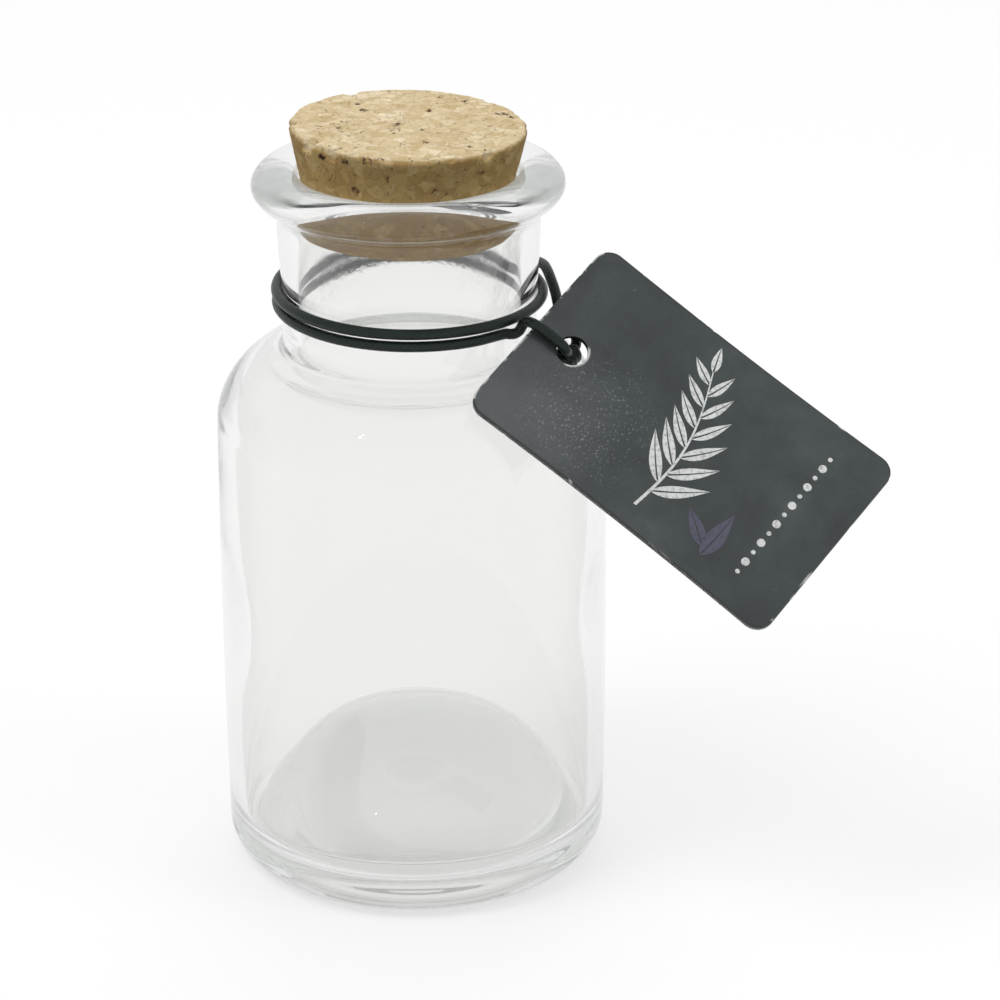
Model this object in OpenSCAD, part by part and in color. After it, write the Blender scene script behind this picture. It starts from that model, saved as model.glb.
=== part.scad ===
// Glass storage jar with a tapered cork stopper, a doubled elastic cord and a swing tag.
// Millimetres, +Z up. The origin is the centre of the foot, on the surface that it stands on.

/* [Jar] */
// Height of the glass, from the foot to the top of the rim
jar_h = 130.7; // [122:0.1:140]
// Diameter of the body where its side leaves the heel
body_d = 69.2; // [66:0.1:73]
// How far the side swells out at mid height
body_swell = 0.35; // [0:0.05:1]
// Height of the shoulder, from the straight side to the neck
shoulder_h = 14; // [12:0.1:16]
// How far the side runs straight up into the shoulder's curve
shoulder_rise = 7.2; // [5:0.1:8.5]
// How far the shoulder's slope runs out from the neck
shoulder_run = 5.6; // [4:0.1:7]
// Slope of the shoulder where it meets the neck, in degrees
shoulder_slope = 13; // [8:0.5:18]
// Width of the rounded heel
heel_w = 5.5; // [4:0.1:7]
// Height of the rounded heel
heel_h = 6.2; // [4.5:0.1:8]
// Thickness of the side
wall = 3.1; // [2.4:0.1:3.8]
// Thickness of the base under the lowest ring of the floor
base_t = 6.7; // [5:0.1:8.5]
// How far that ring lies in from the side
floor_in = 1.9; // [1:0.1:3]
// Height over which the floor turns up into the side
floor_rise = 5; // [3:0.1:7]
// Height of the floor's pushed-up middle above the foot
floor_top = 25.5; // [21:0.1:28]
// Thickness of the glass in the middle of the push-up
push_t = 2.9; // [2.4:0.1:5]
// How far the push-up runs level before it rises
push_run = 1.2; // [0.5:0.1:4]
// How full the push-up is, as a share of its radius
push_full = 0.95; // [0.8:0.01:1]
// Width of the ring that the jar stands on
foot_w = 2.4; // [2:0.1:4]

/* [Neck and rim] */
// Height of the neck, from the shoulder to the underside of the rim
neck_h = 26.3; // [24:0.1:29]
// Diameter of the neck at the shoulder
neck_base_d = 45.4; // [44.8:0.1:47]
// Diameter of the neck's waist, where the cord sits
neck_waist_d = 44.7; // [43.5:0.1:45.2]
// Diameter of the neck under the rim
neck_top_d = 46.3; // [45.4:0.1:47.4]
// Height of the waist above the shoulder
waist_up = 5.2; // [4:0.1:7]
// Diameter of the bore through the neck
mouth_d = 38.6; // [36.5:0.1:39.6]
// Diameter of the rolled rim
rim_d = 54.9; // [53:0.1:57]
// Width of the rim's roll, from its inner to its outer edge
rim_w = 9.4; // [8.6:0.1:10.2]
// Height of the rim's roll
rim_h = 6.6; // [5.4:0.1:7.6]
// Height of the hollow curve under the rim
rim_fillet = 2.8; // [2:0.1:3.6]

/* [Cork] */
// Height of the stopper
cork_h = 19; // [16:0.1:21]
// How far the stopper stands above the edge that it seats on
cork_proud = 8.3; // [6:0.1:11]
// Taper of the stopper's side from upright, in degrees
cork_taper = 12.8; // [9:0.1:15]
// Clearance between the stopper and the mouth, measured across the side
cork_gap = 0.25; // [0.15:0.01:0.4]
// Rounding of the stopper's edges
cork_edge = 0.7; // [0.3:0.1:1.2]
// How far the stopper leans to the right, in degrees
cork_lean = 2; // [0:0.1:3]

/* [Cord] */
// Thickness of the elastic cord
cord_d = 1.8; // [1.5:0.05:2]
// Clearance between the cord's turns
turn_gap = 0.45; // [0.42:0.01:0.7]
// Clearance between the cord and the neck
cord_gap = 0.15; // [0.1:0.01:0.3]
// Height of the first turn above the shoulder
cord_up = 7.4; // [6.5:0.1:9]
// Diameter of the knot across its turns
knot_d = 4.4; // [4:0.1:5]
// Length of the knot
knot_l = 5; // [4.4:0.1:6]
// Clearance between the knot and the back of the tag
knot_gap = 0.8; // [0.5:0.05:1.2]

/* [Tag] */
// Width of the tag
tag_w = 40; // [36:0.1:42]
// Length of the tag
tag_l = 64; // [58:0.1:70]
// Thickness of the tag
tag_t = 1.2; // [0.8:0.05:1.4]
// Radius of the tag's corners
tag_corner = 3.2; // [1.5:0.1:6]
// How far each long side is hollowed at its middle
tag_hollow = 0.4; // [0:0.1:1]
// Width of the bevel round the tag's edges
tag_bevel = 0.2; // [0.1:0.05:0.35]
// Diameter of the hole for the cord
hole_d = 5.5; // [5:0.1:7]
// Distance from the tag's upper edge to the middle of the hole
hole_in = 7.8; // [7:0.1:9]

/* [Hidden] */
$fn = 96;

// Heights and radii of the glass
rim_z = jar_h - rim_h / 2;
neck_top_z = jar_h - rim_h;
neck_base_z = neck_top_z - neck_h;
shoulder_z = neck_base_z - shoulder_h;
waist_z = neck_base_z + waist_up;
body_r = body_d / 2;
neck_base_r = neck_base_d / 2;
neck_waist_r = neck_waist_d / 2;
neck_top_r = neck_top_d / 2;
mouth_r = mouth_d / 2;
rim_mid_r = (rim_d - rim_w) / 2;
neck_straight_z = neck_top_z - rim_fillet;
// The roll starts at this angle on its outer underside, and the bore cuts it off at the other
roll_start = -60;
roll_end = acos((mouth_r - rim_mid_r) / (rim_w / 2));
mouth_z = rim_z + rim_h / 2 * sin(roll_end);
// Inside of the glass
inner_r = body_r - wall;
inner_slope_z = neck_base_z - wall / cos(shoulder_slope);
inner_fillet = 3;
outer_fillet = 1.2;
floor_ring_r = inner_r - floor_in;
foot_ring_r = body_r - heel_w - foot_w;

// Where the tag's hole stands: outside the neck, turned to the right of the front, below the cord
hole_out = 11.4;
hole_turn = -34.7;
hole_down = 2.6;
tag_turn = [35, 31, -26.5];
hole_dist = neck_waist_r + hole_out;
hole_pos = [hole_dist * cos(hole_turn), hole_dist * sin(hole_turn), neck_base_z + cord_up - hole_down];

// The cord's turns round the neck: where they start and how far they go, clockwise from above
cord_r = cord_d / 2;
turn_start = -47;
turn_sweep = 645;
rings_per_turn = 24;
tube_sides = 6;
turn_rise = cord_d + turn_gap;
turn_z = neck_base_z + cord_up;

// Points of the cord's free stretches, which follow the neck. Each is the distance out from the waist,
// the angle round the neck and the height above the shoulder.
// The first stretch: out of the knot, through the hole and over the tag's edge to the neck
route_in = [
  [9.6, -32, 3.6],
  [10.1, -33.5, 4.2],
  [10.5, -35, 4.7],
  [10.8, -36.5, 5.3],
  [10.7, -37.5, 6.2],
  [10.2, -38.5, 7],
  [9, -39, 7.8],
  [7.7, -39.5, 8.6],
  [6.6, -40.5, 9.4],
  [5.5, -41, 9.8],
  [4.1, -41, 9.8],
  [3.2, -41, 8.8],
  [2.6, -41, 7.8],
  [1.9, -42, 7.2],
  [1.4, -44, 7.2]
];
// The last stretch: off the neck and down behind the tag into the knot
route_out = [
  [1.8, 14, 12.2],
  [2, 6, 12.3],
  [2.5, -2, 11.6],
  [3.5, -9, 10.1],
  [4.6, -15.5, 8.1],
  [5.6, -20.5, 6.6],
  [7.1, -22.5, 5.7],
  [8.9, -24, 5.4],
  [9.7, -26.5, 4.4],
  [9.6, -28.5, 3.6]
];
function round_neck(route) = [
  for (p = route)
    let (r = neck_waist_r + p[0])
    [r * cos(p[1]), r * sin(p[1]), neck_base_z + p[2]]
];

// Points along a cubic curve, and along an arc of an ellipse
function curve(p0, p1, p2, p3, steps) = [
  for (i = [0:steps])
    let (t = i / steps, s = 1 - t)
    s * s * s * p0 + 3 * s * s * t * p1 + 3 * s * t * t * p2 + t * t * t * p3
];
function arc(centre, rx, rz, from, to, steps) = [
  for (i = [0:steps])
    let (a = from + (to - from) * i / steps)
    [centre[0] + rx * cos(a), centre[1] + rz * sin(a)]
];
function unit(v) = v / norm(v);
function after_first(points) = [for (i = [1:len(points) - 1]) points[i]];
// Direction that slopes down by the shoulder's angle, away from the axis
function down_slope(length) = [length * cos(shoulder_slope), -length * sin(shoulder_slope)];

// Outer radius of the neck at a height
function neck_r(z) =
  z < waist_z
  ? neck_waist_r + (neck_base_r - neck_waist_r) * (1 - cos(180 * (waist_z - z) / waist_up)) / 2
  : neck_waist_r + (neck_top_r - neck_waist_r)
    * (1 - cos(180 * min(1, (z - waist_z) / (neck_straight_z - waist_z)))) / 2;

// Outline of the push-up, inside or under the base, from its middle down to its ring
function push_line(r, low, top, steps) =
  curve([0, top], [r * push_full, top], [r - push_run, low], [r, low], steps);

// Outer outline of the glass, from the middle of the base to the mouth
function side_line(steps) = [
  for (i = [1:steps])
    let (t = i / steps)
    [body_r + body_swell * sin(180 * t), heel_h + (shoulder_z - heel_h) * t]
];
function neck_line(from, to, steps) = [
  for (i = [1:steps])
    let (z = from + (to - from) * i / steps)
    [neck_r(z), z]
];
shoulder_end = [neck_base_r, neck_base_z] + down_slope(outer_fillet);
roll_in = [rim_mid_r + rim_w / 2 * cos(roll_start), rim_z + rim_h / 2 * sin(roll_start)];
roll_way = unit([-rim_w * sin(roll_start), rim_h * cos(roll_start)]);
neck_start_z = neck_base_z + outer_fillet;
outer_line = concat(
  push_line(foot_ring_r, 0, floor_top - push_t, 10),
  arc([body_r - heel_w, heel_h], heel_w, heel_h, -90, 0, 8),
  side_line(8),
  after_first(curve(
    [body_r, shoulder_z], [body_r, shoulder_z + shoulder_rise],
    shoulder_end + down_slope(shoulder_run - outer_fillet), shoulder_end, 10
  )),
  after_first(curve(
    shoulder_end, [neck_base_r, neck_base_z],
    [neck_base_r, neck_base_z], [neck_r(neck_start_z), neck_start_z], 4
  )),
  neck_line(neck_start_z, neck_straight_z, 10),
  after_first(curve(
    [neck_top_r, neck_straight_z], [neck_top_r, neck_straight_z + rim_fillet / 2],
    roll_in - roll_way * rim_fillet / 2, roll_in, 4
  )),
  after_first(arc([rim_mid_r, rim_z], rim_w / 2, rim_h / 2, roll_start, roll_end, 16))
);
// Inner outline, from the mouth to the middle of the floor. Its shoulder runs straight for less than
// the outer one, which keeps the glass about as thick there as at the side
inner_less = wall / 3;
inner_shoulder_end = [neck_base_r, inner_slope_z];
inner_corner = [mouth_r, inner_slope_z + (neck_base_r - mouth_r) * tan(shoulder_slope)];
push_steps = 12;
floor_middle_out = push_line(floor_ring_r, base_t, floor_top, push_steps);
floor_line = [for (i = [push_steps - 1:-1:0]) floor_middle_out[i]];
inner_line = concat(
  curve(
    inner_corner + [0, inner_fillet], inner_corner + [0, inner_fillet / 3],
    inner_corner + down_slope(inner_fillet / 3), inner_corner + down_slope(inner_fillet), 5
  ),
  curve(
    inner_shoulder_end, inner_shoulder_end + down_slope(shoulder_run - inner_less),
    [inner_r, shoulder_z + shoulder_rise - inner_less], [inner_r, shoulder_z], 9
  ),
  arc([floor_ring_r, base_t + floor_rise], floor_in, floor_rise, 0, -90, 5),
  floor_line
);

module jar() color([0.86, 0.9, 0.9, 0.35])
  rotate_extrude()
    polygon(concat(outer_line, inner_line));

// The stopper's outline hangs on the circle where its side seats in the mouth
seat_r = mouth_r - cork_gap;
cork_low = cork_h - cork_proud;
// Centre of a rounded edge that meets both the sloping side and the flat end
function cork_corner(z) = [seat_r + z * tan(cork_taper) - cork_edge / cos(cork_taper), z];
cork_line = concat(
  [[0, -cork_low]],
  arc(cork_corner(cork_edge - cork_low), cork_edge, cork_edge, -90, -cork_taper, 5),
  arc(cork_corner(cork_proud - cork_edge), cork_edge, cork_edge, -cork_taper, 90, 6),
  [[0, cork_proud]]
);
// A leaning cone stays centred in its round seat when it moves aside a little
lean_shift = -seat_r * sin(cork_lean) * tan(cork_taper);

module cork() color([0.74, 0.56, 0.4])
  translate([lean_shift, 0, mouth_z])
    rotate([0, cork_lean, 0])
      rotate_extrude()
        polygon(cork_line);

// Centres of the cord's rings on the neck: a steady climb, clear of the glass at the chords too
function turn_point(i) =
  let (
    a = turn_start - 360 * i / rings_per_turn,
    z = turn_z + turn_rise * i / rings_per_turn,
    r = (neck_r(z) + cord_gap + cord_r) / cos(180 / rings_per_turn)
  )
  [r * cos(a), r * sin(a), z];
turn_points = [for (i = [0:turn_sweep * rings_per_turn / 360]) turn_point(i)];
path_in = round_neck(route_in);
path_out = round_neck(route_out);
cord_path = concat(path_in, turn_points, path_out);

function along(path, i) =
  let (last = len(path) - 1)
  unit(path[min(i + 1, last)] - path[max(i - 1, 0)]);
function square_to(v, t) = unit(v - (v * t) * t);
// One direction across the tube at each ring, carried along without twist
function across(path) = [
  for (i = 0, v = square_to([0, 0, 1], along(path, 0)); i < len(path);
       i = i + 1, v = i < len(path) ? square_to(v, along(path, i)) : v) v
];
module tube(path, r, sides) {
  sideways = across(path);
  rings = [
    for (i = [0:len(path) - 1])
      let (t = along(path, i), u = sideways[i], w = cross(t, u))
      for (k = [0:sides - 1])
        let (a = 360 * k / sides)
        path[i] + r * (cos(a) * u + sin(a) * w)
  ];
  last = len(path) - 1;
  walls = [
    for (i = [0:last - 1], k = [0:sides - 1])
      let (a = i * sides + k, b = i * sides + (k + 1) % sides)
      each [[a, b + sides, b], [a, a + sides, b + sides]]
  ];
  start_cap = [[for (k = [0:sides - 1]) k]];
  end_cap = [[for (k = [sides - 1:-1:0]) last * sides + k]];
  polyhedron(rings, concat(walls, start_cap, end_cap), convexity = 10);
}

// Least clear distance between stretches of the cord that lie more than half a turn apart
function path_gap(path, apart) = min([
  for (i = [0:len(path) - 1], j = [0:len(path) - 1])
    if (j - i > apart) norm(path[i] - path[j])
]) - cord_d;
echo(
  least_gap_of_cord_to_itself = min(
    path_gap(turn_points, rings_per_turn / 2),
    path_gap(concat(path_in, turn_points), rings_per_turn / 2),
    path_gap(concat(turn_points, path_out), rings_per_turn / 2)
  ),
  cord_length = path_length(cord_path)
);
function path_length(path, i = 1) =
  i < len(path) ? norm(path[i] - path[i - 1]) + path_length(path, i + 1) : 0;

module cord() color([0.1, 0.11, 0.11])
  tube(cord_path, cord_r, tube_sides);

// The knot: three turns of the cord drawn tight side by side
knot_turns = 3;
knot_aside = -0.7;
knot_bead_r = knot_l / knot_turns / 2;
knot_line = concat(
  [[0, -knot_l / 2]],
  [
    for (i = [0:knot_turns - 1])
      each arc(
        [knot_d / 2 - knot_bead_r, (i + 0.5) * 2 * knot_bead_r - knot_l / 2],
        knot_bead_r, knot_bead_r, -80, 80, 6
      )
  ],
  [[0, knot_l / 2]]
);

// It lies along the tag's back, just behind the hole
module knot() color([0.1, 0.11, 0.11])
  translate(hole_pos)
    rotate(tag_turn)
      translate([knot_aside, 0, -tag_t / 2 - knot_gap - knot_d / 2])
        rotate([-90, 0, 0])
          rotate_extrude($fn = 48)
            polygon(knot_line);

// Outline of the tag, drawn in by an inset, with the middle of the hole at the origin
tag_left = tag_corner - hole_in;
tag_right = tag_l - hole_in - tag_corner;
tag_half = tag_w / 2 - tag_corner;
side_steps = 12;
function side_point(i, inset) =
  let (t = i / side_steps)
  [tag_left + (tag_right - tag_left) * t, tag_w / 2 - inset - 4 * tag_hollow * t * (1 - t)];
function tag_line(inset) =
  let (r = tag_corner - inset)
  concat(
    [for (i = [1:side_steps - 1]) let (p = side_point(i, inset)) [p[0], -p[1]]],
    arc([tag_right, -tag_half], r, r, -90, 0, 6),
    arc([tag_right, tag_half], r, r, 0, 90, 6),
    [for (i = [side_steps - 1:-1:1]) side_point(i, inset)],
    arc([tag_left, tag_half], r, r, 90, 180, 6),
    arc([tag_left, -tag_half], r, r, 180, 270, 6)
  );
module tag_plate() {
  levels = [
    [tag_bevel, -tag_t / 2],
    [0, tag_bevel - tag_t / 2],
    [0, tag_t / 2 - tag_bevel],
    [tag_bevel, tag_t / 2]
  ];
  count = len(tag_line(0));
  points = [for (level = levels, p = tag_line(level[0])) [p[0], p[1], level[1]]];
  walls = [
    for (i = [0:len(levels) - 2], k = [0:count - 1])
      let (a = i * count + k, b = i * count + (k + 1) % count)
      each [[a, b + count, b], [a, a + count, b + count]]
  ];
  under = [[for (k = [0:count - 1]) k]];
  over = [[for (k = [count - 1:-1:0]) (len(levels) - 1) * count + k]];
  polyhedron(points, concat(walls, under, over), convexity = 4);
}

module tag() color([0.23, 0.25, 0.25])
  translate(hole_pos)
    rotate(tag_turn)
      difference() {
        tag_plate();
        cylinder(h = 4 * tag_t, d = hole_d, center = true);
      }

jar();
cork();
cord();
knot();
tag();
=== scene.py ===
import math

import bmesh
import bpy
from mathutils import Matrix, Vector, noise


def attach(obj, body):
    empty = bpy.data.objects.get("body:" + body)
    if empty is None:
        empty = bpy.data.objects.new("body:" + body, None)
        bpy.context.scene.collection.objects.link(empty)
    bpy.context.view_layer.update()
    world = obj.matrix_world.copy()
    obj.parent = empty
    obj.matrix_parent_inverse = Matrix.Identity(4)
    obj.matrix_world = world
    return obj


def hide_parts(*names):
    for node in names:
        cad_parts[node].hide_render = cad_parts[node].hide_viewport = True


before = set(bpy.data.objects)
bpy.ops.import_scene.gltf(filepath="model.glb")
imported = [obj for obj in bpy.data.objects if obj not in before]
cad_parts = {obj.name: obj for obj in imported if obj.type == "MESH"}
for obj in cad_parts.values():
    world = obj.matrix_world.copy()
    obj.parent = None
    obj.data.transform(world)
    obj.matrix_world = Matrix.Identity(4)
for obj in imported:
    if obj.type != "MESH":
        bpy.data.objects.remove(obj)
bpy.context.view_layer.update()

MM = 0.001
scene = bpy.context.scene
scene.view_settings.view_transform = "Standard"
# Light turns many times inside thick glass before it leaves
scene.cycles.max_bounces = 64
scene.cycles.glossy_bounces = 64
scene.cycles.transmission_bounces = 64


# ---------------------------------------------------------------- camera
def make_camera():
    yaw, pitch, roll = 0.0246, 0.4011, -0.0049
    ahead = Vector((math.sin(yaw) * math.cos(pitch), math.cos(yaw) * math.cos(pitch), -math.sin(pitch)))
    right = Vector((math.cos(yaw), -math.sin(yaw), 0))
    up = right.cross(ahead)
    right2 = math.cos(roll) * right + math.sin(roll) * up
    up2 = -math.sin(roll) * right + math.cos(roll) * up
    data = bpy.data.cameras.new("camera")
    data.sensor_width = 36
    data.lens = 138.49
    data.clip_start = 0.01
    camera = bpy.data.objects.new("camera", data)
    scene.collection.objects.link(camera)
    turn = camera.matrix_world.to_3x3()
    turn.col[0], turn.col[1], turn.col[2] = right2, up2, -ahead
    camera.matrix_world = turn.to_4x4()
    camera.location = (0, -0.6385, 0.3378)
    scene.camera = camera


make_camera()


# ---------------------------------------------------------------- sizes of the CAD model, in mm
jar_h, body_d, body_swell = 130.7, 69.2, 0.35
shoulder_h, shoulder_rise, shoulder_run, shoulder_slope = 14, 7.2, 5.6, math.radians(13)
heel_w, heel_h, wall, base_t, floor_in, floor_rise, foot_w = 5.5, 6.2, 3.1, 6.7, 1.9, 5, 2.4
floor_top, push_run, push_full = 25.5, 1.2, 0.95
# The base is thick glass below the push-up, and only this much is hollow underneath
under_top = 9.0
neck_h, neck_base_d, neck_waist_d, neck_top_d, waist_up = 26.3, 45.4, 44.7, 46.3, 5.2
mouth_d, rim_d, rim_w, rim_h, rim_fillet = 38.6, 54.9, 9.4, 6.6, 2.8
cork_h, cork_proud, cork_taper, cork_gap, cork_edge, cork_lean = 19, 8.3, math.radians(12.8), 0.25, 0.7, math.radians(2)
cord_d, turn_gap, cord_up = 1.8, 0.45, 7.4
tag_w, tag_l, tag_t, tag_corner, tag_hollow, tag_bevel, hole_d, hole_in = 40, 64, 1.2, 3.2, 0.4, 0.2, 5.5, 7.8
hole_out, hole_turn, hole_down = 11.4, math.radians(-34.7), 2.6
tag_turn = (math.radians(35), math.radians(31), math.radians(-26.5))
turn_start, turn_sweep, rings_per_turn = -47, 645, 24
rim_z = jar_h - rim_h / 2
neck_top_z = jar_h - rim_h
neck_base_z = neck_top_z - neck_h
shoulder_z = neck_base_z - shoulder_h
waist_z = neck_base_z + waist_up
body_r, neck_base_r, neck_waist_r, neck_top_r = body_d / 2, neck_base_d / 2, neck_waist_d / 2, neck_top_d / 2
mouth_r = mouth_d / 2
rim_mid_r = (rim_d - rim_w) / 2
neck_straight_z = neck_top_z - rim_fillet
roll_start = math.radians(-60)
roll_end = math.acos((mouth_r - rim_mid_r) / (rim_w / 2))
mouth_z = rim_z + rim_h / 2 * math.sin(roll_end)
inner_r = body_r - wall
inner_slope_z = neck_base_z - wall / math.cos(shoulder_slope)
floor_ring_r = inner_r - floor_in
foot_ring_r = body_r - heel_w - foot_w
turn_z = neck_base_z + cord_up
turn_rise = cord_d + turn_gap
hole_pos = Vector(((neck_waist_r + hole_out) * math.cos(hole_turn), (neck_waist_r + hole_out) * math.sin(hole_turn),
                   neck_base_z + cord_up - hole_down))


def smooth_part(t):
    return (1 - math.cos(math.pi * min(1, max(0, t)))) / 2


def neck_r(z):
    if z < waist_z:
        return neck_waist_r + (neck_base_r - neck_waist_r) * smooth_part((waist_z - z) / waist_up)
    return neck_waist_r + (neck_top_r - neck_waist_r) * smooth_part((z - waist_z) / (neck_straight_z - waist_z))


# ---------------------------------------------------------------- mesh helpers
def make_object(name, points, faces, smooth=True):
    mesh = bpy.data.meshes.new(name)
    mesh.from_pydata([tuple(p) for p in points], [], faces)
    mesh.validate()
    mesh.update()
    mesh.polygons.foreach_set("use_smooth", [smooth] * len(mesh.polygons))
    thing = bpy.data.objects.new(name, mesh)
    scene.collection.objects.link(thing)
    return thing


def dense_path(points, steps):
    """A smooth line through the points, as many steps between each two."""
    line = []
    last = len(points) - 1
    for i in range(last):
        a, b, c, d = points[max(i - 1, 0)], points[i], points[i + 1], points[min(i + 2, last)]
        for k in range(steps):
            t = k / steps
            line.append(0.5 * ((2 * b) + (c - a) * t + (2 * a - 5 * b + 4 * c - d) * t * t
                               + (3 * b - a - 3 * c + d) * t ** 3))
    line.append(points[-1].copy())
    return line


def tube(name, path, radius, sides, closed_ends=True, section=None):
    """A round tube along a path, its direction across carried along without twist, with a UV map in mm."""
    count = len(path)
    points, lengths = [], [0.0]
    for i in range(1, count):
        lengths.append(lengths[-1] + (path[i] - path[i - 1]).length)
    side = None
    for i in range(count):
        along = (path[min(i + 1, count - 1)] - path[max(i - 1, 0)]).normalized()
        side = Vector((0, 0, 1)) if side is None else side
        side = (side - side.dot(along) * along).normalized()
        other = along.cross(side)
        r = radius(i / (count - 1)) if callable(radius) else radius
        for k in range(sides):
            a = 2 * math.pi * k / sides
            points.append(path[i] + r * (math.cos(a) * side + math.sin(a) * other))
    faces = []
    for i in range(count - 1):
        for k in range(sides):
            a, b = i * sides + k, i * sides + (k + 1) % sides
            faces.append((a, b, b + sides, a + sides))
    quads = len(faces)
    if closed_ends:
        faces.append(tuple(reversed(range(sides))))
        faces.append(tuple((count - 1) * sides + k for k in range(sides)))
    thing = make_object(name, points, faces)
    uv = thing.data.uv_layers.new(name="UVMap")
    for p, polygon in enumerate(thing.data.polygons):
        for corner in polygon.loop_indices:
            v = thing.data.loops[corner].vertex_index
            i, k = divmod(v, sides)
            if p < quads and k == 0 and p % sides == sides - 1:
                k = sides
            uv.data[corner].uv = (lengths[i] * 1000, k / sides)
    return thing


def curve(p0, p1, p2, p3, steps):
    line = []
    for i in range(steps + 1):
        t = i / steps
        s = 1 - t
        line.append(tuple(s ** 3 * a + 3 * s * s * t * b + 3 * s * t * t * c + t ** 3 * d
                          for a, b, c, d in zip(p0, p1, p2, p3)))
    return line


def arc(centre, rx, rz, start, end, steps):
    return [(centre[0] + rx * math.cos(start + (end - start) * i / steps),
             centre[1] + rz * math.sin(start + (end - start) * i / steps)) for i in range(steps + 1)]


def down_slope(length):
    return (length * math.cos(shoulder_slope), -length * math.sin(shoulder_slope))


def plus(a, b):
    return (a[0] + b[0], a[1] + b[1])


def lathe(name, outline, sides, shape=None):
    """Revolves an outline that starts and ends on the axis. shape moves each point."""
    points, faces = [], []
    count = len(outline)
    move = shape or (lambda p, angle, i: p)
    first = len(points)
    points.append(move(Vector((0, 0, outline[0][1])), 0, 0))
    for i in range(1, count - 1):
        for k in range(sides):
            a = 2 * math.pi * k / sides
            points.append(move(Vector((outline[i][0] * math.cos(a), outline[i][0] * math.sin(a), outline[i][1])), a, i))
    points.append(move(Vector((0, 0, outline[-1][1])), 0, count - 1))
    end = len(points) - 1
    for k in range(sides):
        k2 = (k + 1) % sides
        faces.append((first, 1 + k2, 1 + k))
        faces.append((end, 1 + (count - 3) * sides + k, 1 + (count - 3) * sides + k2))
        for i in range(count - 3):
            a = 1 + i * sides
            faces.append((a + k, a + k2, a + sides + k2, a + sides + k))
    return make_object(name, [p * MM for p in points], faces)


# ---------------------------------------------------------------- material helpers
class Nodes:
    """A material's node tree, built in short lines."""

    def __init__(self, name):
        self.material = bpy.data.materials.new(name)
        self.material.use_nodes = True
        self.tree = self.material.node_tree
        self.tree.nodes.clear()
        self.output = self.tree.nodes.new("ShaderNodeOutputMaterial")
        self.shader = self.tree.nodes.new("ShaderNodeBsdfPrincipled")
        self.link(self.shader.outputs[0], self.output.inputs["Surface"])

    def link(self, source, target):
        self.tree.links.new(source, target)

    def add(self, kind, values=None, **settings):
        node = self.tree.nodes.new(kind)
        for key, value in settings.items():
            setattr(node, key, value)
        for key, value in (values or {}).items():
            if isinstance(value, bpy.types.NodeSocket):
                self.link(value, node.inputs[key])
            else:
                node.inputs[key].default_value = value
        return node

    def coords(self, scale=(1, 1, 1), place="Object", turn=(0, 0, 0)):
        where = self.add("ShaderNodeTexCoord").outputs[place]
        return self.add("ShaderNodeMapping", {"Vector": where, "Scale": scale, "Rotation": turn}).outputs[0]

    def noise(self, scale, detail=4, rough=0.5, vector=None, distortion=0.0):
        values = {"Scale": scale, "Detail": detail, "Roughness": rough, "Distortion": distortion}
        values["Vector"] = vector if vector is not None else self.coords()
        return self.add("ShaderNodeTexNoise", values).outputs["Fac"]

    def ramp(self, value, stops, mode="LINEAR"):
        node = self.add("ShaderNodeValToRGB", {"Fac": value})
        node.color_ramp.interpolation = mode
        elements = node.color_ramp.elements
        while len(elements) < len(stops):
            elements.new(0.5)
        for element, (at, colour) in zip(elements, stops):
            element.position = at
            element.color = (*colour, 1) if isinstance(colour, tuple) else (colour, colour, colour, 1)
        return node.outputs["Color"]

    def math(self, kind, a, b=0.0):
        return self.add("ShaderNodeMath", {0: a, 1: b}, operation=kind).outputs[0]

    def mix(self, fac, a, b, blend="MIX"):
        node = self.add("ShaderNodeMix", data_type="RGBA", blend_type=blend)
        for index, value in ((0, fac), (6, a), (7, b)):
            if isinstance(value, bpy.types.NodeSocket):
                self.link(value, node.inputs[index])
            elif index == 0:
                node.inputs[index].default_value = value
            else:
                node.inputs[index].default_value = (*value, 1)
        return node.outputs[2]

    def bump(self, height, strength, distance, normal=None):
        values = {"Height": height, "Strength": strength, "Distance": distance}
        if normal is not None:
            values["Normal"] = normal
        return self.add("ShaderNodeBump", values).outputs[0]

    def use(self, **sockets):
        names = {"colour": "Base Color", "rough": "Roughness", "normal": "Normal", "ior": "IOR",
                 "coat": "Coat Weight", "coat_rough": "Coat Roughness", "metal": "Metallic",
                 "glass": "Transmission Weight", "sheen": "Sheen Weight", "level": "Specular IOR Level",
                 "under": "Subsurface Weight"}
        for key, value in sockets.items():
            socket = self.shader.inputs[names[key]]
            if isinstance(value, bpy.types.NodeSocket):
                self.link(value, socket)
            else:
                socket.default_value = (*value, 1) if isinstance(value, tuple) else value
        return self.material


# ---------------------------------------------------------------- the cord, first of all pieces
# Each point of the free stretches: distance out from the neck's waist, angle, height above the shoulder
route_in = [
    (9.6, -32, 3.6), (10.1, -33.5, 4.2), (10.5, -35, 4.7), (10.8, -36.5, 5.3), (10.7, -37.5, 6.2),
    (10.2, -38.5, 7), (9, -39, 7.8), (7.7, -39.5, 8.6), (6.6, -40.5, 9.4), (5.5, -41, 9.8),
    (4.1, -41, 9.8), (3.2, -41, 8.8), (2.6, -41, 7.8), (1.9, -42, 7.2), (1.4, -44, 7.2),
]
route_out = [
    (1.8, 14, 12.2), (2, 6, 12.3), (2.5, -2, 11.6), (3.5, -9, 10.1), (4.6, -15.5, 8.1),
    (5.6, -20.5, 6.6), (7.1, -22.5, 5.7), (8.9, -24, 5.4), (9.7, -26.5, 4.4), (9.6, -28.5, 3.6),
]
CORD_R = 0.93


def round_neck(out, angle, up):
    r = neck_waist_r + out
    return Vector((r * math.cos(math.radians(angle)), r * math.sin(math.radians(angle)), neck_base_z + up))


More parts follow.
